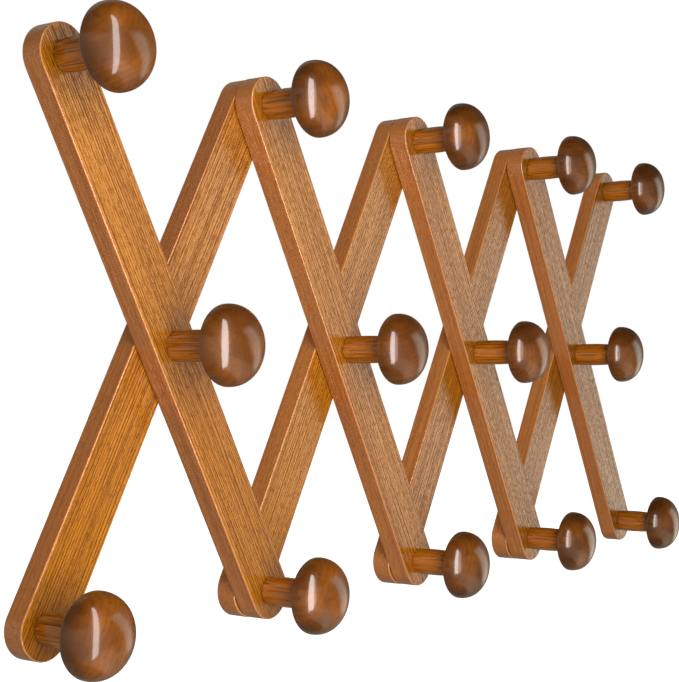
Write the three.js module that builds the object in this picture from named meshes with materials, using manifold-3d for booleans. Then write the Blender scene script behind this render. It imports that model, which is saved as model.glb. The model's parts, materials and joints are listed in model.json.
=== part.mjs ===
// An expanding lattice peg rack for a wall: crossed wooden slats in two layers, joined by pivots that
// each carry a turned mushroom peg. Millimetres. +X runs along the wall, +Y goes into the wall and
// +Z is up. The origin is on the wall plane, on the axis of the middle pivot of the top row.

import * as THREE from 'three';
import { mergeVertices } from 'three/addons/utils/BufferGeometryUtils.js';
import Module from 'manifold-3d';

const wasm = await Module();
wasm.setup();

// Lattice
const CROSSINGS = 4;
const REST_ANGLE = THREE.MathUtils.degToRad(29.5);
const LAYER_GAP = 0.4;

// Slats
const SLAT_LENGTH = 328;
const SLAT_WIDTH = 29;
const SLAT_THICKNESS = 12;
const SLAT_ARRIS = 0.7;
const PIVOT_INSET = 15.5;

// Pegs
const SHANK_LENGTH = 27;
const MIDDLE_SHANK_EXTRA = 2.5;
const SHANK_BELLY_RADIUS = 7.9;
const SHANK_BELLY_HEIGHT = 11;
const SHANK_NECK_RADIUS = 7;
const SHANK_BASE_ROUND = 0.9;
const SHANK_BASE_INSET = 0.54;
const HEAD_RADIUS = 20;
const HEAD_BACK_LENGTH = 3.8;
const HEAD_BACK_POWER = 3.2;
const HEAD_DOME_LENGTH = 14.5;
const HEAD_DOME_POWER = 2.25;
const PEG_HOLE_SPARE = 1.5;

// Pivot screws and their washers
const SCREW_RADIUS = 2;
const SCREW_HEAD_RADIUS = 4.2;
const SCREW_HEAD_HEIGHT = 2.8;
const SCREW_HEAD_SIDE_HEIGHT = 1.3;
const SCREW_HEAD_CROWN_RADIUS = 3;
const SCREW_HEAD_CROWN_HEIGHT = 2.5;
const SCREW_TIP_LENGTH = 6;
const SCREW_BITE = 18;
const WASHER_RADIUS = 5.5;
const WASHER_THICKNESS = 1;
const RECESS_RADIUS = 6.4;
const RECESS_DEPTH = 5.5;
const BORE_CLEARANCE = 0.4;
const CLEARANCE = 0.3;

// Hanger plates, let into the back of two of the rear slats
const PLATE_LENGTH = 46;
const PLATE_WIDTH = 15;
const PLATE_THICKNESS = 1.5;
const PLATE_SINK = 0.1;
const PLATE_BELOW_PIVOT = 56;
const KEYHOLE_ENTRY_RADIUS = 4.3;
const KEYHOLE_SLOT_RADIUS = 2.2;
const KEYHOLE_RISE = 8;
const POCKET_DEPTH = 7;
const POCKET_MARGIN = 0.7;
const POCKET_RISE = 9;
const PLATE_SCREW_SPACING = 35;
const PLATE_SCREW_RADIUS = 1.4;
const PLATE_SCREW_HEAD_RADIUS = 2.6;
const COUNTERSINK_RADIUS = 3.3;
const PLATE_SCREW_HEAD_HEIGHT = 1.5;
const PLATE_SCREW_HEAD_RIM = 0.2;
const PLATE_SCREW_LENGTH = 9;
const PLATE_SCREW_TIP_LENGTH = 3;
const PLATE_SCREW_SINK = 0.1;

// Facets
const END_SEGMENTS = 16;
const PEG_SEGMENTS = 24;
const DOME_STEPS = 8;
const HEAD_BACK_STEPS = 4;
const SHANK_STEPS = 4;
const BORE_SEGMENTS = 12;
const RECESS_SEGMENTS = 16;
const KEYHOLE_SEGMENTS = 12;
const SCREW_SEGMENTS = 12;

// Cutting
const WELD_DISTANCE = 1e-4;
const CUT_OVERRUN = 1;

// Worked out from the dimensions above
const PIVOT_PITCH = SLAT_LENGTH - 2 * PIVOT_INSET;
const COLUMN_PITCH = PIVOT_PITCH * Math.sin(REST_ANGLE);
const ROW_DROP = PIVOT_PITCH * Math.cos(REST_ANGLE);
const FRONT_LAYER_BACK = -(SLAT_THICKNESS + LAYER_GAP);
const FRONT_FACE = FRONT_LAYER_BACK - SLAT_THICKNESS;
const BORE_RADIUS = SCREW_RADIUS + BORE_CLEARANCE;

const stainedSlat = { color: 0xb8733a, roughness: 0.45, metalness: 0 };
const stainedPeg = { color: 0x7a4420, roughness: 0.28, metalness: 0 };
const zincSteel = { color: 0xb9bcc0, roughness: 0.35, metalness: 1 };
const brassPlate = { color: 0xb8995a, roughness: 0.4, metalness: 1 };

// A closed geometry as a solid that can be cut.
function solid(geometry) {
  const bare = geometry.clone();
  bare.deleteAttribute('normal');
  bare.deleteAttribute('uv');
  const merged = mergeVertices(bare, WELD_DISTANCE);
  return new wasm.Manifold(new wasm.Mesh({
    numProp: 3,
    vertProperties: merged.getAttribute('position').array,
    triVerts: new Uint32Array(merged.index.array),
  }));
}

// A solid as a geometry again.
function geometryOf(manifold) {
  const mesh = manifold.getMesh();
  const geometry = new THREE.BufferGeometry();
  geometry.setAttribute('position', new THREE.BufferAttribute(mesh.vertProperties, 3));
  geometry.setIndex(new THREE.BufferAttribute(mesh.triVerts, 1));
  geometry.computeVertexNormals();
  return geometry;
}

// A turned solid about Y, from [radius, y] points that go from the lowest y to the highest.
function turned(profile, segments) {
  const points = profile.map(([radius, y]) => new THREE.Vector2(radius, y));
  return new THREE.LatheGeometry(points, segments);
}

// Points of a stadium outline centred on the origin, long side along y.
function stadium(width, length, segments) {
  const radius = width / 2;
  const centre = length / 2 - radius;
  const points = [];
  for (const end of [0, 1]) {
    for (let i = 0; i <= segments; i++) {
      const angle = Math.PI * (end + i / segments);
      const y = radius * Math.sin(angle) + (end ? -centre : centre);
      points.push(new THREE.Vector2(radius * Math.cos(angle), y));
    }
  }
  return points;
}

// A flat board with its back face on y = 0 and its front at -thickness. The shape's y becomes Z.
function board(shape, thickness, arris = 0) {
  const geometry = new THREE.ExtrudeGeometry(shape, {
    depth: thickness - 2 * arris,
    bevelEnabled: arris > 0,
    bevelThickness: arris,
    bevelSize: arris,
    bevelOffset: -arris,
    bevelSegments: 1,
  });
  geometry.translate(0, 0, arris);
  geometry.rotateX(Math.PI / 2);
  return geometry;
}

// The stepped or plain hole of one pivot, through a slat whose back face is on y = 0.
function pivotBore(recessed) {
  const through = solid(turned([
    [0, -SLAT_THICKNESS - CUT_OVERRUN],
    [BORE_RADIUS, -SLAT_THICKNESS - CUT_OVERRUN],
    [BORE_RADIUS, CUT_OVERRUN],
    [0, CUT_OVERRUN],
  ], BORE_SEGMENTS));
  if (!recessed) return through;
  return through.add(solid(turned([
    [0, -RECESS_DEPTH],
    [RECESS_RADIUS, -RECESS_DEPTH],
    [RECESS_RADIUS, CUT_OVERRUN],
    [0, CUT_OVERRUN],
  ], RECESS_SEGMENTS)));
}

// The hollow behind a hanger plate: a shallow bed, a deeper pocket for the wall screw's head, and
// two pilot holes.
function hangerBed() {
  const bedDepth = PLATE_SINK + PLATE_THICKNESS + CLEARANCE;
  const bedShape = new THREE.Shape(
    stadium(PLATE_WIDTH + 2 * CLEARANCE, PLATE_LENGTH + 2 * CLEARANCE, END_SEGMENTS),
  );
  const bed = board(bedShape, bedDepth + CUT_OVERRUN);
  bed.translate(0, CUT_OVERRUN, 0);
  const pocketWidth = 2 * (KEYHOLE_ENTRY_RADIUS + POCKET_MARGIN);
  const pocketShape = new THREE.Shape(
    stadium(pocketWidth, pocketWidth + POCKET_RISE, END_SEGMENTS),
  );
  const pocket = board(pocketShape, POCKET_DEPTH + CUT_OVERRUN);
  pocket.translate(0, CUT_OVERRUN, 0);
  let hollow = solid(bed).add(solid(pocket));
  for (const side of [-1, 1]) {
    const pilot = turned([
      [0, -PLATE_SCREW_LENGTH - PLATE_SINK - CLEARANCE],
      [PLATE_SCREW_RADIUS + CLEARANCE, -PLATE_SCREW_LENGTH + PLATE_SINK],
      [PLATE_SCREW_RADIUS + CLEARANCE, CUT_OVERRUN],
      [0, CUT_OVERRUN],
    ], BORE_SEGMENTS);
    pilot.translate(0, 0, side * PLATE_SCREW_SPACING / 2);
    hollow = hollow.add(solid(pilot));
  }
  return hollow;
}

// One slat with its back face on y = 0, its middle pivot on the origin and its length along Z.
// recessed says which of its pivots, from the top down, hold a screw head.
function slatGeometry(recessed, withHanger) {
  const outline = new THREE.Shape(stadium(SLAT_WIDTH, SLAT_LENGTH, END_SEGMENTS));
  let body = solid(board(outline, SLAT_THICKNESS, SLAT_ARRIS));
  recessed.forEach((isRecessed, i) => {
    const z = (1 - i) * PIVOT_PITCH / 2;
    body = body.subtract(pivotBore(isRecessed).translate([0, 0, z]));
  });
  if (withHanger) {
    const z = PIVOT_PITCH / 2 - PLATE_BELOW_PIVOT;
    body = body.subtract(hangerBed().translate([0, 0, z]));
  }
  return geometryOf(body);
}

// Points of a rounded profile from radius start to radius end along y, as a superellipse quarter.
function bulge(radius, length, power, from, to, steps, place) {
  const points = [];
  for (let i = 0; i <= steps; i++) {
    const angle = THREE.MathUtils.lerp(from, to, i / steps);
    const across = radius * Math.sin(angle) ** (2 / power);
    const along = length * Math.cos(angle) ** (2 / power);
    points.push([across, place(along)]);
  }
  return points;
}

// Points of the slightly barrelled shank, from the neck down to its rounded foot on y = 0.
function shankProfile(shankLength) {
  const narrowing = SHANK_BELLY_RADIUS - SHANK_NECK_RADIUS;
  const radiusAt = (height) => {
    const away = (height - SHANK_BELLY_HEIGHT) / (shankLength - SHANK_BELLY_HEIGHT);
    return SHANK_BELLY_RADIUS - narrowing * away ** 2;
  };
  const points = [];
  for (let i = SHANK_STEPS - 1; i > 0; i--) {
    const height = shankLength * i / SHANK_STEPS;
    points.push([radiusAt(height), -height]);
  }
  points.push([radiusAt(SHANK_BASE_ROUND), -SHANK_BASE_ROUND]);
  points.push([radiusAt(0) - SHANK_BASE_INSET, 0]);
  return points;
}

// A turned peg that stands on y = 0 and points towards -Y, with a blind hole for its screw.
function pegGeometry(shankLength) {
  const headBack = -shankLength;
  const widest = headBack - HEAD_BACK_LENGTH;
  const neckAngle = Math.asin((SHANK_NECK_RADIUS / HEAD_RADIUS) ** (HEAD_BACK_POWER / 2));
  const holeEnd = -(SCREW_BITE + PEG_HOLE_SPARE);
  const dome = bulge(HEAD_RADIUS, HEAD_DOME_LENGTH, HEAD_DOME_POWER, 0, Math.PI / 2, DOME_STEPS,
    (along) => widest - along);
  dome[0][0] = 0;
  const back = bulge(HEAD_RADIUS, HEAD_BACK_LENGTH, HEAD_BACK_POWER, Math.PI / 2, neckAngle,
    HEAD_BACK_STEPS, (along) => widest + along);
  return turned([
    ...dome,
    ...back.slice(1),
    ...shankProfile(shankLength),
    [BORE_RADIUS, 0],
    [BORE_RADIUS, holeEnd],
    [0, holeEnd - BORE_RADIUS / 2],
  ], PEG_SEGMENTS);
}

// A pan-head wood screw along -Y, with the underside of its head on y = 0.
function screwGeometry(length) {
  return turned([
    [0, -length],
    [SCREW_RADIUS, -length + SCREW_TIP_LENGTH],
    [SCREW_RADIUS, 0],
    [SCREW_HEAD_RADIUS, 0],
    [SCREW_HEAD_RADIUS, SCREW_HEAD_SIDE_HEIGHT],
    [SCREW_HEAD_CROWN_RADIUS, SCREW_HEAD_CROWN_HEIGHT],
    [0, SCREW_HEAD_HEIGHT],
  ], SCREW_SEGMENTS);
}

// A flat washer with its front face on y = 0.
function washerGeometry() {
  return turned([
    [BORE_RADIUS, 0],
    [WASHER_RADIUS, 0],
    [WASHER_RADIUS, WASHER_THICKNESS],
    [BORE_RADIUS, WASHER_THICKNESS],
    [BORE_RADIUS, 0],
  ], RECESS_SEGMENTS);
}

// The keyhole of a hanger plate: a round entry with a narrower slot that rises from it.
function keyholePath() {
  const lift = KEYHOLE_RISE / 2;
  const half = Math.asin(KEYHOLE_SLOT_RADIUS / KEYHOLE_ENTRY_RADIUS);
  const points = [];
  for (let i = 0; i <= KEYHOLE_SEGMENTS; i++) {
    const angle = Math.PI / 2 + half + (2 * Math.PI - 2 * half) * i / KEYHOLE_SEGMENTS;
    const x = KEYHOLE_ENTRY_RADIUS * Math.cos(angle);
    points.push(new THREE.Vector2(x, KEYHOLE_ENTRY_RADIUS * Math.sin(angle) - lift));
  }
  const slotSegments = KEYHOLE_SEGMENTS / 2;
  for (let i = 0; i <= slotSegments; i++) {
    const angle = Math.PI * i / slotSegments;
    const x = KEYHOLE_SLOT_RADIUS * Math.cos(angle);
    points.push(new THREE.Vector2(x, KEYHOLE_SLOT_RADIUS * Math.sin(angle) + lift));
  }
  return new THREE.Path(points);
}

// A hanger plate centred on the origin, with its outer face on y = 0 and its length along Z.
function plateGeometry() {
  const shape = new THREE.Shape(stadium(PLATE_WIDTH, PLATE_LENGTH, END_SEGMENTS));
  shape.holes.push(keyholePath());
  let plate = solid(board(shape, PLATE_THICKNESS));
  for (const side of [-1, 1]) {
    const countersink = turned([
      [0, -PLATE_THICKNESS - CUT_OVERRUN],
      [PLATE_SCREW_RADIUS + CLEARANCE, -PLATE_THICKNESS - CUT_OVERRUN],
      [PLATE_SCREW_RADIUS + CLEARANCE, -PLATE_SCREW_HEAD_HEIGHT],
      [COUNTERSINK_RADIUS, 0],
      [COUNTERSINK_RADIUS, CUT_OVERRUN],
      [0, CUT_OVERRUN],
    ], BORE_SEGMENTS);
    countersink.translate(0, 0, side * PLATE_SCREW_SPACING / 2);
    plate = plate.subtract(solid(countersink));
  }
  return geometryOf(plate);
}

// A small countersunk screw along -Y, with the flat top of its head on y = 0.
function plateScrewGeometry() {
  return turned([
    [0, -PLATE_SCREW_LENGTH],
    [PLATE_SCREW_RADIUS, -PLATE_SCREW_LENGTH + PLATE_SCREW_TIP_LENGTH],
    [PLATE_SCREW_RADIUS, -PLATE_SCREW_HEAD_HEIGHT],
    [PLATE_SCREW_HEAD_RADIUS, -PLATE_SCREW_HEAD_RIM],
    [PLATE_SCREW_HEAD_RADIUS, 0],
    [0, 0],
  ], SCREW_SEGMENTS);
}

const rack = new THREE.Group();

function place(parent, name, geometry, finish, x, y, z) {
  const mesh = new THREE.Mesh(geometry, new THREE.MeshStandardMaterial(finish));
  mesh.name = name;
  mesh.position.set(x, y, z);
  parent.add(mesh);
}

// The X of a column, counted from the left end of the rack; middle pivots sit on half columns.
function columnX(column) {
  return (column - CROSSINGS / 2) * COLUMN_PITCH;
}

// A hanger plate and its two screws, in the frame of the slat that holds them.
function addHanger(slat, side) {
  const z = PIVOT_PITCH / 2 - PLATE_BELOW_PIVOT;
  const sink = -PLATE_SINK - PLATE_SCREW_SINK;
  place(slat, `hanger_plate_${side}`, plateGeometry(), brassPlate, 0, -PLATE_SINK, z);
  const ends = { upper: 1, lower: -1 };
  for (const [end, sign] of Object.entries(ends)) {
    const screwZ = z + sign * PLATE_SCREW_SPACING / 2;
    place(slat, `hanger_screw_${side}_${end}`, plateScrewGeometry(), brassPlate, 0, sink, screwZ);
  }
}

// Slats. Front slats run down to the right, rear slats run up to the right.
const hangers = { 1: 'left', 3: 'right' };
for (let i = 1; i <= CROSSINGS; i++) {
  const middleX = columnX(i - 0.5);
  const front = new THREE.Group();
  front.position.set(middleX, FRONT_LAYER_BACK, -ROW_DROP / 2);
  front.rotation.y = -REST_ANGLE;
  const frontRecesses = [i === 1, false, i === CROSSINGS];
  place(front, `front_slat_${i}`, slatGeometry(frontRecesses, false), stainedSlat, 0, 0, 0);
  rack.add(front);

  const rear = new THREE.Group();
  rear.position.set(middleX, 0, -ROW_DROP / 2);
  rear.rotation.y = REST_ANGLE;
  const rearGeometry = slatGeometry([true, true, true], i in hangers);
  place(rear, `rear_slat_${i}`, rearGeometry, stainedSlat, 0, 0, 0);
  if (i in hangers) addHanger(rear, hangers[i]);
  rack.add(rear);
}

// One pivot: a peg on the outermost slat, a screw from behind, and a washer under its head.
function addPivot(name, x, z, woodBack, woodFront, shankLength) {
  const washerFront = woodBack - RECESS_DEPTH + CLEARANCE;
  const headUnder = washerFront + WASHER_THICKNESS + CLEARANCE;
  const screwLength = headUnder - woodFront + SCREW_BITE;
  const pegSeat = woodFront - CLEARANCE;
  place(rack, `peg_${name}`, pegGeometry(shankLength), stainedPeg, x, pegSeat, z);
  place(rack, `pivot_screw_${name}`, screwGeometry(screwLength), zincSteel, x, headUnder, z);
  place(rack, `washer_${name}`, washerGeometry(), zincSteel, x, washerFront, z);
}

// Top and bottom rows. At the far left and right only one slat reaches the pivot.
for (let column = 0; column <= CROSSINGS; column++) {
  const x = columnX(column);
  const atLeft = column === 0;
  const atRight = column === CROSSINGS;
  const topBack = atLeft ? FRONT_LAYER_BACK : 0;
  const topFront = atRight ? -SLAT_THICKNESS : FRONT_FACE;
  addPivot(`top_${column + 1}`, x, 0, topBack, topFront, SHANK_LENGTH);
  const bottomBack = atRight ? FRONT_LAYER_BACK : 0;
  const bottomFront = atLeft ? -SLAT_THICKNESS : FRONT_FACE;
  addPivot(`bottom_${column + 1}`, x, -ROW_DROP, bottomBack, bottomFront, SHANK_LENGTH);
}

// Middle row, at the crossings.
for (let i = 1; i <= CROSSINGS; i++) {
  const shank = SHANK_LENGTH + MIDDLE_SHANK_EXTRA;
  addPivot(`middle_${i}`, columnX(i - 0.5), -ROW_DROP / 2, 0, FRONT_FACE, shank);
}

export default rack;
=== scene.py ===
import json
import math
import random
from collections import namedtuple

import bmesh
import bpy
from mathutils import Matrix, Vector


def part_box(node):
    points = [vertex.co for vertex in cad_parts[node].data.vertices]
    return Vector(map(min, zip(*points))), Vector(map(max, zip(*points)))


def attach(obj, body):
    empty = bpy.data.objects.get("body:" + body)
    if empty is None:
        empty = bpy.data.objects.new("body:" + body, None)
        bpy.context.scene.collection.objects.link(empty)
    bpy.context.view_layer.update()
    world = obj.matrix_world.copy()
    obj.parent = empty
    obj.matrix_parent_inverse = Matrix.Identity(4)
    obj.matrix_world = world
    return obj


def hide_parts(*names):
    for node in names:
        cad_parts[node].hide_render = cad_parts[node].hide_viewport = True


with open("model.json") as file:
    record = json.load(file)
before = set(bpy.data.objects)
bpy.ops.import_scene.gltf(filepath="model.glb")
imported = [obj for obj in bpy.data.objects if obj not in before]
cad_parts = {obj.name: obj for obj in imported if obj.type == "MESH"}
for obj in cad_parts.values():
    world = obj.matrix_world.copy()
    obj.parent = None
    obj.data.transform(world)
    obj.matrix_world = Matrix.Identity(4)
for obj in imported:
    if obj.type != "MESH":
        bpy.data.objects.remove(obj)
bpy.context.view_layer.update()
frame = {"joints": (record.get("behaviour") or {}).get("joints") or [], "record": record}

RECORD = frame["record"]
BODY_OF = {node: body for body, nodes in RECORD["behaviour"]["bodies"].items() for node in nodes}
MM = 0.001

# Mesh work: how near two points are merged, how near the axis a point counts as on it, how far a
# cutter stands out of what it cuts, and how strongly large faces steer the shading (out of 100)
MERGE_DISTANCE = 1e-7
ON_AXIS = 1e-9
OVERRUN = 1 * MM
FACE_WEIGHT = 90

# Slats
SLAT_LENGTH = 328 * MM
SLAT_WIDTH = 29 * MM
SLAT_THICKNESS = 12 * MM
SLAT_ARRIS = 0.7 * MM
ARRIS_MARGIN = 0.05 * SLAT_ARRIS
SLAT_END_STEPS = 30
SLAT_ARRIS_STEPS = 4
SLAT_SHARP_ANGLE = 32
BORE_RADIUS = 2.4 * MM
BORE_STEPS = 32
RECESS_RADIUS = 6.4 * MM
RECESS_DEPTH = 5.5 * MM
RECESS_STEPS = 48
HOLE_CHAMFER = 0.35 * MM

# Pegs
HEAD_RADIUS = 20 * MM
HEAD_BACK_LENGTH = 3.8 * MM
HEAD_BACK_POWER = 3.2
HEAD_BACK_STEPS = 16
HEAD_DOME_LENGTH = 14.5 * MM
HEAD_DOME_POWER = 2.25
HEAD_DOME_STEPS = 30
HEAD_LENGTH = HEAD_BACK_LENGTH + HEAD_DOME_LENGTH
SHANK_BELLY_RADIUS = 7.9 * MM
SHANK_BELLY_HEIGHT = 11 * MM
SHANK_NECK_RADIUS = 7 * MM
SHANK_STEPS = 15
SHANK_FOOT_ROUND = 0.9 * MM
SHANK_FOOT_INSET = 0.6 * SHANK_FOOT_ROUND
NECK_FILLET = 0.8 * MM
FILLET_STEPS = 4
PEG_BORE_DEPTH = 19.5 * MM
PEG_BORE_POINT = BORE_RADIUS / 2
PEG_STEPS = 80
PEG_SHARP_ANGLE = 40
SEAT_GAP = 0.28 * MM

# Where a peg's colours change: the paler shank fades in over this length below the neck, and painted
# shade darkens the head towards its rim from this part of its radius outwards
SHANK_FADE = 7 * MM
RIM_SHADE_START = 0.6

# How far a piece's place in the timber may be shifted, so that no two pieces look alike, in metres
SLAT_SCATTER = 3.0
PEG_SCATTER = 0.06

# Pivot screws
SCREW_RADIUS = 2 * MM
SCREW_TIP_RADIUS = 0.25 * MM
SCREW_TIP_SLOPE = 0.42
SCREW_RINGS = 110
SCREW_STEPS = 32
SCREW_NECK_GAP = 0.01 * MM
SCREW_THREAD_PITCH = 1.8 * MM
SCREW_THREAD_DEPTH = 0.35 * MM
SCREW_THREAD_LENGTH = 16 * MM
SCREW_HEAD_RADIUS = 4.2 * MM
SCREW_HEAD_HEIGHT = 2.8 * MM
SCREW_HEAD_EDGE = 0.15 * MM
SCREW_HEAD_FLAT = 0.25
SCREW_HEAD_SIDE = 0.35
SCREW_HEAD_STEPS = 10
SCREW_CROSS = (2.1 * MM, 0.9 * MM, 1.7 * MM)
METAL_SHARP_ANGLE = 35

# Screw threads and driver crosses
THREAD_SHARPNESS = 5
CROSS_OVERRUN = 0.4 * MM
CROSS_TIP_REACH = 0.45
CROSS_TIP_WIDTH = 0.78

# Washers
WASHER_RADIUS = 5.5 * MM
WASHER_EDGE = 0.15 * MM
WASHER_STEPS = 48
FLAT_SHARP_ANGLE = 30

# Hanger plates
PLATE_LENGTH = 46 * MM
PLATE_WIDTH = 15 * MM
PLATE_THICKNESS = 1.5 * MM
PLATE_EDGE = 0.2 * MM
PLATE_END_STEPS = 20
PLATE_EDGE_STEPS = 2
PLATE_BELOW_PIVOT = 56 * MM
PLATE_SCREW_SPACING = 35 * MM
PLATE_HOLE_CLEARANCE = 0.25 * MM
COUNTERSINK_RADIUS = 3.0 * MM
COUNTERSINK_DEPTH = 1.4 * MM
COUNTERSINK_STEPS = 32
KEYHOLE_ENTRY_RADIUS = 4.3 * MM
KEYHOLE_ENTRY_STEPS = 32
KEYHOLE_SLOT_RADIUS = 2.2 * MM
KEYHOLE_SLOT_STEPS = 16
KEYHOLE_RISE = 8 * MM

# What the slat behind a hanger plate is cut away for
CUTTER_END_STEPS = 16
BED_GAP = 0.3 * MM
BED_EXTRA_DEPTH = 0.4 * MM
POCKET_CLEARANCE = 1.4 * MM
POCKET_EXTRA_LENGTH = 1 * MM
POCKET_DEPTH = 7 * MM
PILOT_CLEARANCE = 0.3 * MM
PILOT_DEPTH = 9 * MM
PILOT_POINT = 0.5 * MM
PILOT_STEPS = 16

# Hanger screws
PLATE_SCREW_RADIUS = 1.4 * MM
PLATE_SCREW_TIP_RADIUS = 0.2 * MM
PLATE_SCREW_TIP_SLOPE = 0.5
PLATE_SCREW_RINGS = 50
PLATE_SCREW_STEPS = 24
PLATE_SCREW_THREAD_PITCH = 1.1 * MM
PLATE_SCREW_THREAD_DEPTH = 0.25 * MM
PLATE_SCREW_THREAD_TOP = -2 * MM
PLATE_SCREW_SHANK_TOP = -1.5 * MM
PLATE_SCREW_CONE_BOTTOM = -1.45 * MM
PLATE_SCREW_CONE_TOP = -0.25 * MM
PLATE_SCREW_HEAD_RADIUS = 2.6 * MM
PLATE_SCREW_EDGE = (0.1 * MM, -0.08 * MM)
PLATE_SCREW_TOP_INSET = 0.3 * MM
PLATE_SCREW_CROSS = (1.4 * MM, 0.6 * MM, 1.0 * MM)

# The lattice as the frame gives it
PIVOTS = {joint["name"]: Vector(joint["pos_m"]) for joint in frame["joints"]}
COLUMN_PITCH = PIVOTS["top_pivot_4"].x - PIVOTS["top_pivot_3_front"].x
ROW_DROP = -2 * PIVOTS["middle_pivot_2"].z
SLAT_ANGLE = math.atan2(COLUMN_PITCH, ROW_DROP)
PIVOT_PITCH = math.hypot(COLUMN_PITCH, ROW_DROP)
CROSSINGS = 4
HANGER_SLATS = {1: "left", 3: "right"}


# ---------------------------------------------------------------- mesh tools

def finish_mesh(bm, name):
    """A mesh from bm, with doubled points merged and its faces pointing out."""
    bmesh.ops.remove_doubles(bm, verts=bm.verts, dist=MERGE_DISTANCE)
    bmesh.ops.recalc_face_normals(bm, faces=bm.faces)
    mesh = bpy.data.meshes.new(name)
    bm.to_mesh(mesh)
    bm.free()
    return mesh


def loft(rings, name):
    """A solid through rings of points, each with as many points as the next."""
    bm = bmesh.new()
    loops = [[bm.verts.new(point) for point in ring] for ring in rings]
    count = len(loops[0])
    for lower, upper in zip(loops, loops[1:]):
        for i in range(count):
            j = (i + 1) % count
            bm.faces.new((lower[i], lower[j], upper[j], upper[i]))
    bm.faces.new(loops[0][::-1])
    bm.faces.new(loops[-1])
    return finish_mesh(bm, name)


def revolve(profile, steps, name, radius_at=None):
    """A solid about Y from (radius, y) points that start and end on the axis.

    radius_at(radius, y, angle) can change the radius round the turn, as a thread does.
    """
    bm = bmesh.new()
    loops = []
    for radius, y in profile:
        if radius < ON_AXIS:
            loops.append([bm.verts.new((0, y, 0))])
            continue
        loop = []
        for i in range(steps):
            angle = 2 * math.pi * i / steps
            r = radius_at(radius, y, angle) if radius_at else radius
            loop.append(bm.verts.new((r * math.cos(angle), y, r * math.sin(angle))))
        loops.append(loop)
    for a, b in zip(loops, loops[1:]):
        for i in range(steps):
            j = (i + 1) % steps
            if len(a) == 1:
                bm.faces.new((a[0], b[j], b[i]))
            elif len(b) == 1:
                bm.faces.new((a[i], a[j], b[0]))
            else:
                bm.faces.new((a[i], a[j], b[j], b[i]))
    return finish_mesh(bm, name)


def stadium(width, length, steps):
    """(x, z) points of a stadium outline centred on the origin, its long side along z."""
    radius = width / 2
    centre = length / 2 - radius
    points = []
    for end in (0, 1):
        for i in range(steps + 1):
            angle = math.pi * (end + i / steps)
            z = radius * math.sin(angle) + (-centre if end else centre)
            points.append((radius * math.cos(angle), z))
    return points


def arc(steps):
    """(cosine, sine) of evenly spaced angles over a quarter turn."""
    angles = [k * math.pi / 2 / steps for k in range(steps + 1)]
    return [(math.cos(angle), math.sin(angle)) for angle in angles]


def rounded_board(width, length, thickness, edge, end_steps, edge_steps, name):
    """A stadium board with its back on y = 0, its front on -thickness and rounded arrises."""
    back = [(edge * (1 - s), -edge * (1 - c)) for c, s in arc(edge_steps)]
    front = [(inset, -thickness - y) for inset, y in reversed(back)]
    rings = []
    for inset, y in back + front:
        outline = stadium(width - 2 * inset, length - 2 * inset, end_steps)
        rings.append([(x, y, z) for x, z in outline])
    return loft(rings, name)


def cut(mesh, cutters):
    """mesh with each cutter mesh taken away from it."""
    host = bpy.data.objects.new("host", mesh)
    bpy.context.collection.objects.link(host)
    tools = []
    for cutter in cutters:
        tool = bpy.data.objects.new("tool", cutter)
        bpy.context.collection.objects.link(tool)
        boolean = host.modifiers.new("cut", "BOOLEAN")
        boolean.operation = "DIFFERENCE"
        boolean.solver = "EXACT"
        boolean.object = tool
        tools.append(tool)
    graph = bpy.context.evaluated_depsgraph_get()
    result = bpy.data.meshes.new_from_object(host.evaluated_get(graph))
    for made in (host, *tools):
        bpy.data.objects.remove(made)
    return result


def moved(mesh, x=0, y=0, z=0):
    """The same mesh, moved."""
    mesh.transform(Matrix.Translation((x, y, z)))
    return mesh


def set_grain(mesh, along, seed, scatter):
    """Stores where each vertex lies in the timber: x along the grain, y and z across it.

    Each seed takes its piece from another place in the timber. A piece with its grain along Y is
    turned, so it is also rolled about its grain.
    """
    rng = random.Random(seed)
    offset = Vector([rng.uniform(-1, 1) for _ in range(3)]) * scatter
    roll = rng.uniform(-math.pi, math.pi) if along == "Y" else 0
    turn = Matrix.Rotation(roll, 3, "X")
    order = {"Z": (2, 0, 1), "Y": (1, 0, 2)}[along]
    grain = mesh.attributes.new("grain", "FLOAT_VECTOR", "POINT")
    for vertex, value in zip(mesh.vertices, grain.data):
        local = Vector([vertex.co[axis] for axis in order])
        value.vector = turn @ local + offset


def smooth(mesh, angle_deg):
    """Shades a mesh smooth, apart from edges sharper than the angle."""
    mesh.shade_smooth()
    mesh.set_sharp_from_angle(angle=math.radians(angle_deg))


def add_piece(name, mesh, placement, material, replaced):
    """Puts a finished mesh in the row frame and ties it to the CAD node that it stands for."""
    mesh.transform(placement)
    piece = bpy.data.objects.new(name, mesh)
    bpy.context.collection.objects.link(piece)
    piece.data.materials.clear()
    piece.data.materials.append(material)
    normals = piece.modifiers.new("face normals", "WEIGHTED_NORMAL")
    normals.keep_sharp = True
    normals.weight = FACE_WEIGHT
    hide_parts(replaced)
    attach(piece, BODY_OF[replaced])


# ---------------------------------------------------------------- material tools

def colour(red, green, blue):
    """A linear colour from 0 to 255 display values."""
    def linear(value):
        value /= 255
        return value / 12.92 if value <= 0.04045 else ((value + 0.055) / 1.055) ** 2.4
    return (linear(red), linear(green), linear(blue), 1.0)


# One layer of a surface's figure: how many times a metre its noise changes along x, y and z, the
# noise levels where the layer starts and is full, and the noise's detail and roughness
Layer = namedtuple("Layer", "stretch starts full detail rough", defaults=(0.0, 1.0, 2.0, 0.5))


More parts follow.
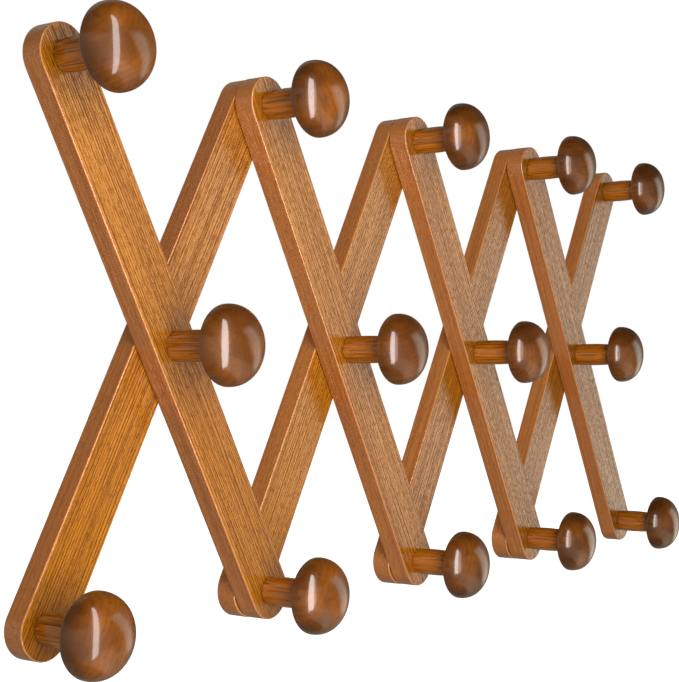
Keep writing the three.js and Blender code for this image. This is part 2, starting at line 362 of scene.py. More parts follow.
class Nodes:
    """A node tree, with short calls for the nodes it needs."""

    def __init__(self, tree):
        self.tree = tree

    def plug(self, socket, value):
        if isinstance(value, bpy.types.NodeSocket):
            self.tree.links.new(value, socket)
        else:
            socket.default_value = value

    def node(self, kind, inputs=(), **settings):
        made = self.tree.nodes.new(kind)
        for key, value in settings.items():
            setattr(made, key, value)
        for socket, value in zip(made.inputs, inputs):
            self.plug(socket, value)
        return made

    def math(self, operation, *values):
        return self.node("ShaderNodeMath", values, operation=operation).outputs[0]

    def total(self, first, *others):
        for value in others:
            first = self.math("ADD", first, value)
        return first

    def product(self, first, *others):
        for value in others:
            first = self.math("MULTIPLY", first, value)
        return first

    def vector(self, operation, *values):
        return self.node("ShaderNodeVectorMath", values, operation=operation).outputs[0]

    def split(self, vector):
        return self.node("ShaderNodeSeparateXYZ", (vector,)).outputs

    def attribute(self, name, output="Fac"):
        return self.node("ShaderNodeAttribute", attribute_name=name).outputs[output]

    def noise(self, place, layer):
        made = self.node("ShaderNodeTexNoise")
        self.plug(made.inputs["Vector"], self.vector("MULTIPLY", place, layer.stretch))
        self.plug(made.inputs["Scale"], 1.0)
        self.plug(made.inputs["Detail"], layer.detail)
        self.plug(made.inputs["Roughness"], layer.rough)
        return made.outputs["Fac"]

    def remap(self, value, low, high, to_low=0.0, to_high=1.0, smooth=True):
        made = self.node("ShaderNodeMapRange", (value, low, high, to_low, to_high))
        made.interpolation_type = "SMOOTHSTEP" if smooth else "LINEAR"
        return made.outputs[0]

    def layer(self, place, layer, least=0.0, most=1.0):
        """The strength of a layer of figure, from least to most."""
        return self.remap(self.noise(place, layer), layer.starts, layer.full, least, most)

    def blend(self, factor, a, b):
        """A number that goes from a to b as factor goes from 0 to 1."""
        made = self.node("ShaderNodeMix", (factor,), data_type="FLOAT")
        self.plug(made.inputs[2], a)
        self.plug(made.inputs[3], b)
        return made.outputs[0]

    def mix(self, factor, a, b):
        """A colour that goes from a to b as factor goes from 0 to 1."""
        made = self.node("ShaderNodeMix", data_type="RGBA")
        self.plug(made.inputs["Factor"], factor)
        self.plug(made.inputs[6], a)
        self.plug(made.inputs[7], b)
        return made.outputs[2]

    def bump(self, height, distance, strength):
        made = self.node("ShaderNodeBump")
        self.plug(made.inputs["Height"], height)
        self.plug(made.inputs["Distance"], distance)
        self.plug(made.inputs["Strength"], strength)
        return made.outputs[0]


class Shader(Nodes):
    """A material with one Principled surface."""

    def __init__(self, name):
        self.material = bpy.data.materials.new(name)
        self.material.use_nodes = True
        super().__init__(self.material.node_tree)
        self.surface = self.tree.nodes["Principled BSDF"]

    def set(self, **values):
        for name, value in values.items():
            self.plug(self.surface.inputs[name.replace("_", " ")], value)


# ---------------------------------------------------------------- slat timber

# Growth lines: their spacing, how fast they shift with depth, how far they wander (in radians of
# a line), the height of their wave where they are darkest, and how faint they may grow
LINE_SPACING = 1.6 * MM
LINE_LEAN = 0.08
LINE_WANDER = 30.0
LINE_PEAK = 0.9
LINE_FAINTEST = 0.3

SLAT_WANDER = Layer((3, 90, 4))
SLAT_BOLDNESS = Layer((7, 600, 60), 0.35, 0.6)
SLAT_FIBRES = Layer((8, 2600, 900), 0.46, 0.60, detail=1)
SLAT_PORES = Layer((260, 1500, 1500), 0.50, 0.62, detail=1)
SLAT_SHADE = Layer((3, 60, 60), 0.3, 0.7)
SLAT_BLOTCH = Layer((11, 30, 30), 0.35, 0.7)

SLAT_DARK, SLAT_LIGHT = colour(156, 95, 8), colour(168, 106, 12)
SLAT_BLOTCH_COLOUR, SLAT_BLOTCH_SHARE = colour(166, 94, 7), 0.2
SLAT_LINE_COLOUR, SLAT_LINE_SHARE = colour(98, 48, 1), 0.97
SLAT_FIBRE_COLOUR, SLAT_FIBRE_SHARE = colour(100, 52, 4), 0.55
SLAT_PORE_COLOUR, SLAT_PORE_SHARE = colour(84, 43, 3), 0.5
SLAT_SIDE_COLOUR, SLAT_SIDE_SHARE = colour(164, 96, 60), 0.45
# A painted highlight: the front arris is mixed towards this pale colour, in place of its reflection
SLAT_ARRIS_HIGHLIGHT_COLOUR, SLAT_ARRIS_HIGHLIGHT_SHARE = colour(226, 160, 106), 0.24

# Lines and pores lie a little below the surface, and the lacquer's gloss is weaker there
SLAT_RELIEF_DEPTH = 0.05 * MM
SLAT_RELIEF_STRENGTH = 0.5
LINE_SINK, PORE_SINK = -0.6, -1.0
DULL_FIBRES, DULL_PORES = 0.5, 0.5
GLOSS_LEAST = 0.15
SLAT_ROUGH_CLEAR, SLAT_ROUGH_LINES, SLAT_ROUGH_PORES = 0.26, 0.34, 0.1


def set_face(mesh):
    """Marks a slat's broad faces, and the arris round its front, where a highlight is painted."""
    radius = SLAT_WIDTH / 2
    centre = SLAT_LENGTH / 2 - radius
    face = mesh.attributes.new("face", "FLOAT", "POINT")
    edge = mesh.attributes.new("edge", "FLOAT", "POINT")
    for vertex, on_face, on_arris in zip(mesh.vertices, face.data, edge.data):
        x, y, z = vertex.co
        inset = radius - math.hypot(x, max(abs(z) - centre, 0))
        depth = SLAT_THICKNESS + y
        on_face.value = float(min(depth, -y) < ARRIS_MARGIN)
        nearest, farthest = min(inset, depth), max(inset, depth)
        on_arris.value = float(ARRIS_MARGIN < nearest and farthest < SLAT_ARRIS - ARRIS_MARGIN)


def slat_wood():
    """Lacquered orange-brown timber: close dark growth lines and pores, a painted highlight on the
    arrises.
    """
    s = Shader("slat_wood")
    place = s.attribute("grain", "Vector")
    face = s.attribute("face")
    _, across, deep = s.split(place)
    turns = s.product(s.total(across, s.product(deep, LINE_LEAN)), 2 * math.pi / LINE_SPACING)
    wander = s.product(s.noise(place, SLAT_WANDER), LINE_WANDER)
    wave = s.remap(s.math("SINE", s.total(turns, wander)), 0.0, LINE_PEAK)
    lines = s.product(wave, s.layer(place, SLAT_BOLDNESS, LINE_FAINTEST), face)
    fibres = s.layer(place, SLAT_FIBRES)
    pores = s.layer(place, SLAT_PORES)

    base = s.mix(s.layer(place, SLAT_SHADE), SLAT_DARK, SLAT_LIGHT)
    base = s.mix(s.layer(place, SLAT_BLOTCH, 0.0, SLAT_BLOTCH_SHARE), base, SLAT_BLOTCH_COLOUR)
    base = s.mix(s.product(lines, SLAT_LINE_SHARE), base, SLAT_LINE_COLOUR)
    base = s.mix(s.product(fibres, SLAT_FIBRE_SHARE), base, SLAT_FIBRE_COLOUR)
    base = s.mix(s.product(pores, SLAT_PORE_SHARE), base, SLAT_PORE_COLOUR)
    side = s.mix(SLAT_SIDE_SHARE, base, SLAT_SIDE_COLOUR)
    base = s.mix(face, side, base)
    # Painted highlight along the front arris
    base = s.mix(s.product(s.attribute("edge"), SLAT_ARRIS_HIGHLIGHT_SHARE), base, SLAT_ARRIS_HIGHLIGHT_COLOUR)

    dull = s.total(lines, s.product(fibres, DULL_FIBRES), s.product(pores, DULL_PORES))
    gloss = s.remap(dull, 0.0, 1.0, 1.0, GLOSS_LEAST)
    line_rough = s.remap(lines, 0.0, 1.0, SLAT_ROUGH_CLEAR, SLAT_ROUGH_LINES)
    rough = s.total(line_rough, s.product(pores, SLAT_ROUGH_PORES))
    height = s.total(s.product(lines, LINE_SINK), s.product(pores, PORE_SINK))
    relief = s.bump(height, SLAT_RELIEF_DEPTH, SLAT_RELIEF_STRENGTH)
    s.set(Base_Color=base, Roughness=rough, Normal=relief, Coat_Normal=relief)
    s.set(Specular_IOR_Level=0.15, Coat_Weight=gloss, Coat_Roughness=0.19, Coat_IOR=1.5)
    return s.material


# ---------------------------------------------------------------- peg timber

# Growth rings about the pith, as radians a metre out from it, how far they wander in radians, and
# the height of their wave where they start
RING_RATE = 2200.0
RING_WANDER = 14.0
RING_START = -0.2

PEG_WANDER = Layer((22, 60, 60))
PEG_PATCH = Layer((24, 55, 55), 0.35, 0.68)
PEG_STREAK = Layer((16, 420, 420), 0.5, 0.75, detail=3, rough=0.6)
PEG_FIBRES = Layer((12, 1800, 1800), 0.42, 0.66)

HEAD_DARK, HEAD_LIGHT = colour(84, 43, 6), colour(118, 64, 9)
HEAD_RING_COLOUR, HEAD_RING_SHARE = colour(74, 35, 5), 0.25
HEAD_STREAK_COLOUR, HEAD_STREAK_SHARE = colour(58, 27, 5), 0.45
# Painted shade: the head's rim is darkened towards this colour, in place of the shading at its edge
HEAD_RIM_SHADE_COLOUR, HEAD_RIM_SHADE_SHARE, HEAD_RIM_SHADE_POWER = colour(46, 22, 5), 0.32, 1.6
SHANK_LIGHT, SHANK_DARK = colour(168, 95, 9), colour(112, 59, 6)
SHANK_STREAK_COLOUR, SHANK_STREAK_SHARE = colour(96, 48, 6), 0.12
SHANK_STREAK_START = 0.45

PEG_RELIEF_DEPTH = 0.1 * MM
PEG_RELIEF_STRENGTH = 0.1
PEG_ROUGH_STARTS, PEG_ROUGH_FULL = 0.35, 0.7
PEG_ROUGH_CLEAR, PEG_ROUGH_STREAKS = 0.26, 0.36


def set_peg_regions(mesh, shank_length):
    """Marks a peg's shank, fading out towards the neck, and the rim of its head, where shade is
    painted.
    """
    shank = mesh.attributes.new("shank", "FLOAT", "POINT")
    rim = mesh.attributes.new("rim", "FLOAT", "POINT")
    for vertex, on_shank, on_rim in zip(mesh.vertices, shank.data, rim.data):
        from_neck = (vertex.co.y + shank_length) / SHANK_FADE
        on_shank.value = min(max(from_neck, 0), 1)
        outward = math.hypot(vertex.co.x, vertex.co.z) / HEAD_RADIUS
        on_rim.value = min(max((outward - RIM_SHADE_START) / (1 - RIM_SHADE_START), 0), 1)


def peg_wood():
    """Glossy walnut-brown lacquer over turned timber, its grain along the peg; the shank is paler and
    painted shade darkens the head's rim.
    """
    s = Shader("peg_wood")
    place = s.attribute("grain", "Vector")
    _, across, deep = s.split(place)
    pith = s.math("SQRT", s.total(s.math("POWER", across, 2.0), s.math("POWER", deep, 2.0)))
    wander = s.product(s.noise(place, PEG_WANDER), RING_WANDER)
    rings = s.remap(s.math("SINE", s.total(s.product(pith, RING_RATE), wander)), RING_START, 1.0)
    streak = s.noise(place, PEG_STREAK)
    head_streak = s.remap(streak, PEG_STREAK.starts, PEG_STREAK.full, 0.0, HEAD_STREAK_SHARE)
    shank_streak = s.remap(streak, SHANK_STREAK_START, PEG_STREAK.full, 0.0, SHANK_STREAK_SHARE)
    rim = s.math("POWER", s.attribute("rim"), HEAD_RIM_SHADE_POWER)

    head = s.mix(s.layer(place, PEG_PATCH), HEAD_DARK, HEAD_LIGHT)
    head = s.mix(s.product(rings, HEAD_RING_SHARE), head, HEAD_RING_COLOUR)
    head = s.mix(head_streak, head, HEAD_STREAK_COLOUR)
    # Painted shade: the head darkens towards its rim
    head = s.mix(s.product(rim, HEAD_RIM_SHADE_SHARE), head, HEAD_RIM_SHADE_COLOUR)
    shank = s.mix(s.layer(place, PEG_FIBRES), SHANK_LIGHT, SHANK_DARK)
    shank = s.mix(shank_streak, shank, SHANK_STREAK_COLOUR)
    base = s.mix(s.attribute("shank"), head, shank)

    rough = s.remap(streak, PEG_ROUGH_STARTS, PEG_ROUGH_FULL, PEG_ROUGH_CLEAR, PEG_ROUGH_STREAKS)
    relief = s.bump(streak, PEG_RELIEF_DEPTH, PEG_RELIEF_STRENGTH)
    s.set(Base_Color=base, Roughness=rough, Normal=relief)
    s.set(Specular_IOR_Level=0.12, Coat_Weight=0.65, Coat_Roughness=0.09, Coat_IOR=1.5)
    return s.material


# ---------------------------------------------------------------- metal

TARNISH = Layer((260, 260, 260), 0.4, 0.75, detail=4)
TARNISH_SHARE = 0.7
BRUSHING = Layer((3000, 3000, 350), 0.3, 0.7)
BRUSH_DEPTH = 0.03 * MM
BRUSH_STRENGTH = 0.4
BRUSH_SMOOTHER, BRUSH_ROUGHER = 0.07, 0.1

ZINC_TINT, ZINC_TARNISH, ZINC_ROUGHNESS = colour(196, 200, 204), colour(140, 142, 142), 0.3
BRASS_TINT, BRASS_TARNISH, BRASS_ROUGHNESS = colour(200, 168, 104), colour(132, 104, 60), 0.34


def plated_metal(name, tint, dark, roughness):
    """Plated metal with fine brushing and slow, patchy tarnish."""
    s = Shader(name)
    place = s.node("ShaderNodeTexCoord").outputs["Object"]
    brush = s.noise(place, BRUSHING)
    base = s.mix(s.layer(place, TARNISH, 0.0, TARNISH_SHARE), tint, dark)
    smoothest, roughest = roughness - BRUSH_SMOOTHER, roughness + BRUSH_ROUGHER
    rough = s.remap(brush, BRUSHING.starts, BRUSHING.full, smoothest, roughest)
    relief = s.bump(brush, BRUSH_DEPTH, BRUSH_STRENGTH)
    s.set(Base_Color=base, Roughness=rough, Metallic=1.0, Normal=relief)
    return s.material


# ---------------------------------------------------------------- slats

def hole_profile(radius, bottom, chamfer):
    """A cutter's profile for a hole from bottom up to a mouth at y = 0, with a chamfered mouth."""
    return [(0, bottom), (radius, bottom), (radius, -chamfer), (radius + chamfer, 0),
            (radius + chamfer, OVERRUN), (0, OVERRUN)]


def bore_cutters(recessed, z):
    """Cutters for one pivot of a slat, at height z: its bore, and its recess if it has one."""
    bottom = -SLAT_THICKNESS - OVERRUN
    bore = [(0, bottom), (BORE_RADIUS, bottom), (BORE_RADIUS, OVERRUN), (0, OVERRUN)]
    cutters = [moved(revolve(bore, BORE_STEPS, "bore"), z=z)]
    if recessed:
        recess = hole_profile(RECESS_RADIUS, -RECESS_DEPTH, HOLE_CHAMFER)
        cutters.append(moved(revolve(recess, RECESS_STEPS, "recess"), z=z))
    return cutters


def board_cutter(width, length, depth, z, name):
    """A stadium cutter that sinks to depth below y = 0."""
    outline = stadium(width, length, CUTTER_END_STEPS)
    rings = [[(x, y, h) for x, h in outline] for y in (-depth, OVERRUN)]
    return moved(loft(rings, name), z=z)


def hanger_cutters():
    """Cutters for a hanger plate's bed, the pocket behind its keyhole and its screws' pilot holes."""
    z = PIVOT_PITCH / 2 - PLATE_BELOW_PIVOT
    bed = (PLATE_WIDTH + 2 * BED_GAP, PLATE_LENGTH + 2 * BED_GAP, PLATE_THICKNESS + BED_EXTRA_DEPTH)
    entry = 2 * KEYHOLE_ENTRY_RADIUS + POCKET_CLEARANCE
    pocket = (entry, entry + KEYHOLE_RISE + POCKET_EXTRA_LENGTH, POCKET_DEPTH)
    cutters = [board_cutter(*bed, z, "bed"), board_cutter(*pocket, z, "pocket")]
    radius = PLATE_SCREW_RADIUS + PILOT_CLEARANCE
    pilot = [(0, -PILOT_DEPTH - PILOT_POINT), (radius, -PILOT_DEPTH), (radius, OVERRUN), (0, OVERRUN)]
    for side in (-1, 1):
        hole = revolve(pilot, PILOT_STEPS, "pilot")
        cutters.append(moved(hole, z=z + side * PLATE_SCREW_SPACING / 2))
    return cutters


def slat_mesh(name, recessed, with_hanger):
    """A slat in its own frame: back on y = 0, middle pivot at the origin, length along z."""
    blank = rounded_board(SLAT_WIDTH, SLAT_LENGTH, SLAT_THICKNESS, SLAT_ARRIS,
                          SLAT_END_STEPS, SLAT_ARRIS_STEPS, name)
    cutters = []
    for i, is_recessed in enumerate(recessed):
        cutters += bore_cutters(is_recessed, (1 - i) * PIVOT_PITCH / 2)
    if with_hanger:
        cutters += hanger_cutters()
    mesh = cut(blank, cutters)
    set_grain(mesh, "Z", name, SLAT_SCATTER)
    set_face(mesh)
    smooth(mesh, SLAT_SHARP_ANGLE)
    return mesh


# ---------------------------------------------------------------- pegs

def superellipse(radius, length, power, start, end, steps):
    """(radius, height) points of a superellipse between two angles from its axis."""
    points = []
    for i in range(steps + 1):
        angle = start + (end - start) * i / steps
        across = radius * max(math.sin(angle), 0) ** (2 / power)
        along = length * max(math.cos(angle), 0) ** (2 / power)
        points.append((across, along))
    return points


def shank_radius(height, shank_length):
    """The radius of a peg's shank at a height above the slat: a belly that thins to the neck."""
    away = (height - SHANK_BELLY_HEIGHT) / (shank_length - SHANK_BELLY_HEIGHT)
    return SHANK_BELLY_RADIUS - (SHANK_BELLY_RADIUS - SHANK_NECK_RADIUS) * away ** 2


def peg_profile(shank_length):
    """(radius, y) points of a peg that stands on y = 0 and points towards -y, from its top down."""
    widest = -shank_length - HEAD_BACK_LENGTH
    quarter = math.pi / 2
    dome = superellipse(HEAD_RADIUS, HEAD_DOME_LENGTH, HEAD_DOME_POWER, 0, quarter, HEAD_DOME_STEPS)
    points = [(r, widest - h) for r, h in dome]

    fillet_radius = SHANK_NECK_RADIUS + NECK_FILLET
    neck = math.asin((fillet_radius / HEAD_RADIUS) ** (HEAD_BACK_POWER / 2))
    back = superellipse(HEAD_RADIUS, HEAD_BACK_LENGTH, HEAD_BACK_POWER, quarter, neck, HEAD_BACK_STEPS)
    points += [(r, widest + h) for r, h in back[1:]]
    back_y = points[-1][1]
    for c, s in arc(FILLET_STEPS)[1:]:
        points.append((fillet_radius - NECK_FILLET * s, back_y + NECK_FILLET * (1 - c)))

    for i in range(1, SHANK_STEPS):
        height = shank_length * (1 - i / SHANK_STEPS)
        points.append((shank_radius(height, shank_length), -height))
    foot = shank_radius(0, shank_length)
    for c, s in arc(FILLET_STEPS):
        points.append((foot - SHANK_FOOT_INSET * (1 - c), -SHANK_FOOT_ROUND * (1 - s)))

    bore_end = -PEG_BORE_DEPTH - PEG_BORE_POINT
    return points + [(BORE_RADIUS, 0), (BORE_RADIUS, -PEG_BORE_DEPTH), (0, bore_end)]


def peg_mesh(name, shank_length):
    mesh = revolve(peg_profile(shank_length), PEG_STEPS, name)
    set_grain(mesh, "Y", name, PEG_SCATTER)
    set_peg_regions(mesh, shank_length)
    smooth(mesh, PEG_SHARP_ANGLE)
    return mesh


# ---------------------------------------------------------------- screws and washers

def cross_cutter(reach, width, depth):
    """A tapered cross for a driver, with its mouth on y = 0 and its point below."""
    sections = ((CROSS_OVERRUN, 1, 1), (0, 1, 1), (-depth, CROSS_TIP_REACH, CROSS_TIP_WIDTH))
    bm = bmesh.new()
    for turn in (0, math.pi / 2):
        rings = []
        for y, along, across in sections:
            half_x, half_z = reach * along, width / 2 * across
            corners = [(-half_x, -half_z), (half_x, -half_z), (half_x, half_z), (-half_x, half_z)]
            rings.append([(x * math.cos(turn) - z * math.sin(turn), y,
                           x * math.sin(turn) + z * math.cos(turn)) for x, z in corners])
        bm.from_mesh(loft(rings, "blade"))
    return finish_mesh(bm, "cross")


def thread(pitch, depth, start, end):
    """A radius_at function that turns a wood-screw thread between two heights."""
    def radius_at(radius, y, angle):
        if not start < y < end:
            return radius
        phase = (y / pitch + angle / (2 * math.pi)) % 1
        crest = max(0, 1 - abs(phase - 0.5) * THREAD_SHARPNESS)
        return radius - depth * (1 - crest)
    return radius_at


def pointed_shank(radius, bottom, top, rings, tip_radius, tip_slope):
    """(radius, y) points of a screw's shank, from its point at bottom to just short of top."""
    profile = [(0, bottom)]
    for i in range(1, rings):
        y = bottom + (top - bottom) * i / rings
        profile.append((min(radius, tip_radius + (y - bottom) * tip_slope), y))
    return profile


def screw_mesh(name, length):
    """A pan-head wood screw along -y with the underside of its head on y = 0."""
    bottom = SCREW_HEAD_HEIGHT - length
    profile = pointed_shank(SCREW_RADIUS, bottom, -SCREW_NECK_GAP, SCREW_RINGS,
                            SCREW_TIP_RADIUS, SCREW_TIP_SLOPE)
    profile += [(SCREW_RADIUS, 0), (SCREW_HEAD_RADIUS - SCREW_HEAD_EDGE, 0),
                (SCREW_HEAD_RADIUS, SCREW_HEAD_EDGE)]
    for c, s in arc(SCREW_HEAD_STEPS):
        across = SCREW_HEAD_FLAT + (1 - SCREW_HEAD_FLAT) * c
        up = SCREW_HEAD_SIDE + (1 - SCREW_HEAD_SIDE) * s
        profile.append((SCREW_HEAD_RADIUS * across, SCREW_HEAD_HEIGHT * up))
    profile.append((0, SCREW_HEAD_HEIGHT))
    turned = thread(SCREW_THREAD_PITCH, SCREW_THREAD_DEPTH, bottom, bottom + SCREW_THREAD_LENGTH)
    mesh = revolve(profile, SCREW_STEPS, name, turned)
    mesh = cut(mesh, [moved(cross_cutter(*SCREW_CROSS), y=SCREW_HEAD_HEIGHT)])
    smooth(mesh, METAL_SHARP_ANGLE)
    return mesh


def washer_mesh(name, thickness):
    """A flat washer between y = 0 and y = thickness, with eased edges."""
    e = WASHER_EDGE
    section = [(BORE_RADIUS, e), (BORE_RADIUS + e, 0), (WASHER_RADIUS - e, 0), (WASHER_RADIUS, e),
               (WASHER_RADIUS, thickness - e), (WASHER_RADIUS - e, thickness),
               (BORE_RADIUS + e, thickness), (BORE_RADIUS, thickness - e)]
    bm = bmesh.new()
    loops = []
    for i in range(WASHER_STEPS):
        angle = 2 * math.pi * i / WASHER_STEPS
        loops.append([bm.verts.new((r * math.cos(angle), y, r * math.sin(angle))) for r, y in section])
    for i in range(WASHER_STEPS):
        a, b = loops[i], loops[(i + 1) % WASHER_STEPS]
        for k in range(len(section)):
            m = (k + 1) % len(section)
            bm.faces.new((a[k], a[m], b[m], b[k]))
    mesh = finish_mesh(bm, name)
    smooth(mesh, FLAT_SHARP_ANGLE)
    return mesh


# ---------------------------------------------------------------- hangers

def keyhole_cutter():
    """The keyhole: a round entry with a narrower slot that rises from it."""
    lift = KEYHOLE_RISE / 2
    half = math.asin(KEYHOLE_SLOT_RADIUS / KEYHOLE_ENTRY_RADIUS)
    outline = []
    for i in range(KEYHOLE_ENTRY_STEPS + 1):
        angle = math.pi / 2 + half + (2 * math.pi - 2 * half) * i / KEYHOLE_ENTRY_STEPS
        outline.append((KEYHOLE_ENTRY_RADIUS * math.cos(angle),
                        KEYHOLE_ENTRY_RADIUS * math.sin(angle) - lift))
    for i in range(KEYHOLE_SLOT_STEPS + 1):
        angle = math.pi * i / KEYHOLE_SLOT_STEPS
        outline.append((KEYHOLE_SLOT_RADIUS * math.cos(angle),
                        KEYHOLE_SLOT_RADIUS * math.sin(angle) + lift))
    rings = [[(x, y, z) for x, z in outline] for y in (-PLATE_THICKNESS - OVERRUN, OVERRUN)]
    return loft(rings, "keyhole")


def plate_mesh(name):
    """A keyhole hanger plate with its outer face on y = 0."""
    blank = rounded_board(PLATE_WIDTH, PLATE_LENGTH, PLATE_THICKNESS, PLATE_EDGE,
                          PLATE_END_STEPS, PLATE_EDGE_STEPS, name)
    radius = PLATE_SCREW_RADIUS + PLATE_HOLE_CLEARANCE
    bottom = -2 * PLATE_THICKNESS
    sink = [(0, bottom), (radius, bottom), (radius, -COUNTERSINK_DEPTH), (COUNTERSINK_RADIUS, 0),
            (COUNTERSINK_RADIUS, OVERRUN), (0, OVERRUN)]
    cutters = [keyhole_cutter()]
    for side in (-1, 1):
        hole = revolve(sink, COUNTERSINK_STEPS, "sink")
        cutters.append(moved(hole, z=side * PLATE_SCREW_SPACING / 2))
    mesh = cut(blank, cutters)
    smooth(mesh, FLAT_SHARP_ANGLE)
    return mesh


def plate_screw_mesh(name, length):
    """A small countersunk screw along -y with the top of its head on y = 0."""
    edge_inset, edge_y = PLATE_SCREW_EDGE
    profile = pointed_shank(PLATE_SCREW_RADIUS, -length, PLATE_SCREW_SHANK_TOP, PLATE_SCREW_RINGS,
                            PLATE_SCREW_TIP_RADIUS, PLATE_SCREW_TIP_SLOPE)
    profile += [(PLATE_SCREW_RADIUS, PLATE_SCREW_CONE_BOTTOM),
                (PLATE_SCREW_HEAD_RADIUS, PLATE_SCREW_CONE_TOP),
                (PLATE_SCREW_HEAD_RADIUS - edge_inset, edge_y),
                (PLATE_SCREW_HEAD_RADIUS - PLATE_SCREW_TOP_INSET, 0), (0, 0)]
    turned = thread(PLATE_SCREW_THREAD_PITCH, PLATE_SCREW_THREAD_DEPTH, -length, PLATE_SCREW_THREAD_TOP)
    mesh = revolve(profile, PLATE_SCREW_STEPS, name, turned)
    mesh = cut(mesh, [cross_cutter(*PLATE_SCREW_CROSS)])
    smooth(mesh, METAL_SHARP_ANGLE)
    return mesh


# ---------------------------------------------------------------- the rack

SLAT_WOOD = slat_wood()
PEG_WOOD = peg_wood()
ZINC = plated_metal("zinc_steel", ZINC_TINT, ZINC_TARNISH, ZINC_ROUGHNESS)
BRASS = plated_metal("hanger_brass", BRASS_TINT, BRASS_TARNISH, BRASS_ROUGHNESS)


def front_and_back(node):
    """How far along y a node's front and back lie."""
    low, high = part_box(node)
    return low.y, high.y


def standing(node, y, turn=0.0):
    """Where a piece's own frame goes: over the middle of a node at depth y, turned about Y."""
    low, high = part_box(node)
    centre = (low + high) / 2
    return Matrix.Translation((centre.x, y, centre.z)) @ Matrix.Rotation(turn, 4, "Y")


def screw_turn(node):
    """How far round a screw's cross happens to stand."""
    return random.Random(node).uniform(0, math.pi)


def add_slat(layer, index):
    """A slat of the front or rear layer, recessed at each pivot where no slat lies behind it."""
    node = f"{layer}_slat_{index}"
    _, back = front_and_back(node)
    in_rear = layer == "rear"
    recessed = (True, True, True) if in_rear else (index == 1, False, index == CROSSINGS)
    placement = standing(node, back, SLAT_ANGLE if in_rear else -SLAT_ANGLE)
    mesh = slat_mesh(node + "_timber", recessed, in_rear and index in HANGER_SLATS)
    add_piece(node + "_timber", mesh, placement, SLAT_WOOD, node)


def add_peg(node):
    """A peg that sits down on its slat, closing the small gap under the CAD peg."""
    front, back = front_and_back(node)
    mesh = peg_mesh(node + "_turned", back - front - HEAD_LENGTH + SEAT_GAP)
    add_piece(node + "_turned", mesh, standing(node, back + SEAT_GAP), PEG_WOOD, node)


def add_screw(node):
    front, back = front_and_back(node)
    mesh = screw_mesh(node + "_steel", back - front)
    placement = standing(node, back - SCREW_HEAD_HEIGHT, screw_turn(node))
    add_piece(node + "_steel", mesh, placement, ZINC, node)


def add_washer(node):
    front, back = front_and_back(node)
    mesh = washer_mesh(node + "_steel", back - front)
    add_piece(node + "_steel", mesh, standing(node, front), ZINC, node)


def add_hanger_screw(node):
    front, back = front_and_back(node)
    mesh = plate_screw_mesh(node + "_brass", back - front)
    add_piece(node + "_brass", mesh, standing(node, back, screw_turn(node)), BRASS, node)


def add_hanger(side):
    """A hanger plate in line with its rear slat, and its two screws."""
    node = f"hanger_plate_{side}"
    _, back = front_and_back(node)
    mesh = plate_mesh(node + "_brass")
    add_piece(node + "_brass", mesh, standing(node, back, SLAT_ANGLE), BRASS, node)
    for end in ("upper", "lower"):
        add_hanger_screw(f"hanger_screw_{side}_{end}")


for index in range(1, CROSSINGS + 1):
    add_slat("front", index)
    add_slat("rear", index)
for node in sorted(BODY_OF):
    if node.startswith("peg_"):
        add_peg(node)
    elif node.startswith("pivot_screw_"):
        add_screw(node)
    elif node.startswith("washer_"):
        add_washer(node)
for side in HANGER_SLATS.values():
    add_hanger(side)


# ---------------------------------------------------------------- camera and floor

# The lens in millimetres on a 36 mm sensor, and the shift of the picture in widths of it
CAMERA_SENSOR = 36.0
CAMERA_LENS = 74.539
CAMERA_SHIFT = (-0.00616, 0.04457)
CAMERA_PLACE = Vector((-733.3, -497.4, -141.7)) * MM
CAMERA_YAW = math.radians(54.126)
CAMERA_CLIP = 0.05
FLOOR_SIZE = 60.0
FLOOR_HEIGHT = -1.5
FLOOR_GREY = (0.9, 0.9, 0.9, 1)
WHITE = (1, 1, 1, 1)


def add_camera():
    """A level camera off the rack's left end, at about the height of its middle row."""
    data = bpy.data.cameras.new("camera")
    data.sensor_width = CAMERA_SENSOR
    data.lens = CAMERA_LENS
    data.shift_x, data.shift_y = CAMERA_SHIFT
    data.clip_start = CAMERA_CLIP
    camera = bpy.data.objects.new("camera", data)
    camera.location = CAMERA_PLACE
    camera.rotation_euler = (math.pi / 2, 0, -CAMERA_YAW)
    bpy.context.collection.objects.link(camera)
    bpy.context.scene.camera = camera


def add_floor():
    """A white studio floor that the camera sees but that throws no light up onto the object."""
    bpy.ops.mesh.primitive_plane_add(size=FLOOR_SIZE, location=(0, 0, FLOOR_HEIGHT))
    floor = bpy.context.object
    floor.name = "floor"
    s = Shader("floor")
    s.set(Base_Color=FLOOR_GREY, Roughness=1.0, Emission_Color=WHITE, Emission_Strength=1.0)
    floor.data.materials.append(s.material)
    floor.visible_diffuse = False
    floor.visible_glossy = False


# ---------------------------------------------------------------- light

# A narrow strip and a wider panel off the rack's left end make the gloss, a key lamp there gives
# the light on its front, and a broad lamp behind fills its back. Each lamp: its name, what it
# lights, its place, the way it faces, its width and height, and its power in watts
LAMPS = (
    ("strip", "gloss", (-0.308, -0.245, -0.075), (0.9, 0.43, 0), 0.12, 0.66, 2.75),
    ("key", "colour", (-0.38, -0.47, -0.1), (0.35, 0.94, 0), 0.3, 0.6, 4.8),
    ("side", "gloss", (-0.318, -0.36, -0.075), (0.995, -0.06, 0), 0.4, 0.7, 4.0),
    ("rear", "colour", (0.35, 1.3, 0.25), (-0.1, -1, -0.1), 1.4, 1.0, 26.0),
)

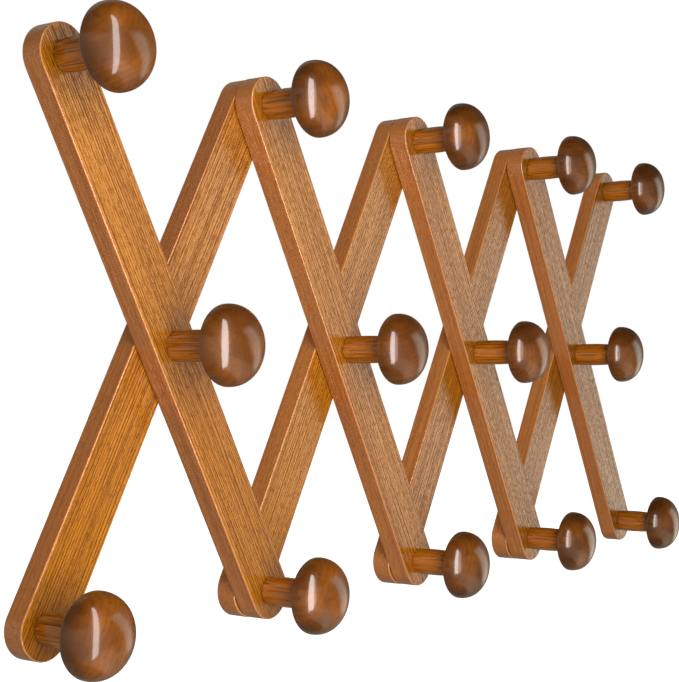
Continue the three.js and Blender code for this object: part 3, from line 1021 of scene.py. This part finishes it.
# The soft light round the object, as (azimuth in degrees from -Y towards +X, strength), in three
# bands: level with it, above and below
LEVEL_LIGHT = ((-180, 0.7), (-160, 0.6), (-130, 0.6), (-90, 0.9), (-60, 1.1), (-30, 1.0), (-16, 0.8),
               (0, 0.6), (20, 0.6), (38, 0.1), (42, 0.15), (45, 0.3), (48, 0.9), (52, 2.0),
               (58, 2.3), (69, 2.2), (75, 0.9), (83, 0.35), (110, 0.1), (150, 0.15), (180, 0.7))
UPPER_LIGHT = ((-180, 0.4), (-135, 0.2), (-60, 0.25), (0, 0.2), (28, 0.12), (90, 0.08), (140, 0.08),
               (180, 0.4))
LOWER_LIGHT = ((-180, 0.4), (-135, 0.4), (-60, 1.2), (0, 1.6), (45, 0.5), (90, 0.3), (135, 0.3),
               (180, 0.4))
ZENITH_LIGHT = 0.05
NADIR_LIGHT = 0.25
LIGHT_TINT = (1.0, 0.95, 0.80, 1.0)

# The strength at the top of a colour ramp, how far a band leans round as it rises (radians a
# radian), and the elevations in degrees between which the level band gives way to the band above
# or below it, and that band to the light at the pole
RAMP_TOP = 3.0
BAND_LEAN = 0.8
BAND_EDGE = (17, 26)
POLE_EDGE = (55, 65)


def add_lamp(name, lights, place, facing, width, height, watts):
    """A soft upright lamp that the camera doesn't see, for the object's gloss or its colour."""
    data = bpy.data.lights.new(name, "AREA")
    data.shape = "RECTANGLE"
    data.size, data.size_y = width, height
    data.energy = watts
    lamp = bpy.data.objects.new(name, data)
    lamp.location = place
    lamp.rotation_euler = Vector(facing).to_track_quat("-Z", "Y").to_euler()
    lamp.visible_camera = False
    lamp.visible_glossy = lights == "gloss"
    lamp.visible_diffuse = lights == "colour"
    bpy.context.collection.objects.link(lamp)


def light_band(world, turn, stops):
    """The strength of a band of light where the azimuth is turn, in whole turns from behind."""
    node = world.node("ShaderNodeValToRGB", (turn,))
    ramp = node.color_ramp
    while len(ramp.elements) < len(stops):
        ramp.elements.new(1.0)
    for element, (azimuth, strength) in zip(ramp.elements, stops):
        grey = strength / RAMP_TOP
        element.position = (azimuth + 180) / 360
        element.color = (grey, grey, grey, 1)
    return world.math("MULTIPLY", node.outputs["Color"], RAMP_TOP)


def add_world():
    """A white surround to the camera; to the object, soft light that varies round it."""
    data = bpy.data.worlds.new("studio")
    data.use_nodes = True
    data.node_tree.nodes.clear()
    world = Nodes(data.node_tree)
    direction = world.node("ShaderNodeTexCoord").outputs["Generated"]
    x, y, z = world.split(world.vector("NORMALIZE", direction))
    azimuth = world.math("ARCTAN2", x, world.product(y, -1.0))
    elevation = world.math("ARCSINE", z)
    leaning = world.total(azimuth, world.product(elevation, BAND_LEAN))
    turn = world.remap(leaning, -math.pi, math.pi, smooth=False)

    band = [math.radians(edge) for edge in BAND_EDGE]
    pole = [math.radians(edge) for edge in POLE_EDGE]
    strength = light_band(world, turn, LEVEL_LIGHT)
    for up, stops, pole_light in ((1.0, UPPER_LIGHT, ZENITH_LIGHT), (-1.0, LOWER_LIGHT, NADIR_LIGHT)):
        height = world.product(elevation, up)
        strength = world.blend(world.remap(height, *band), strength, light_band(world, turn, stops))
        strength = world.blend(world.remap(height, *pole), strength, pole_light)

    seen = world.node("ShaderNodeBackground", (WHITE, 1.0)).outputs[0]
    lit = world.node("ShaderNodeBackground", (LIGHT_TINT, strength)).outputs[0]
    by_camera = world.node("ShaderNodeLightPath").outputs["Is Camera Ray"]
    shown = world.node("ShaderNodeMixShader", (by_camera, lit, seen)).outputs[0]
    world.node("ShaderNodeOutputWorld", (shown,))
    bpy.context.scene.world = data


add_camera()
add_floor()
for lamp in LAMPS:
    add_lamp(*lamp)
add_world()
bpy.context.scene.view_settings.view_transform = "Standard"
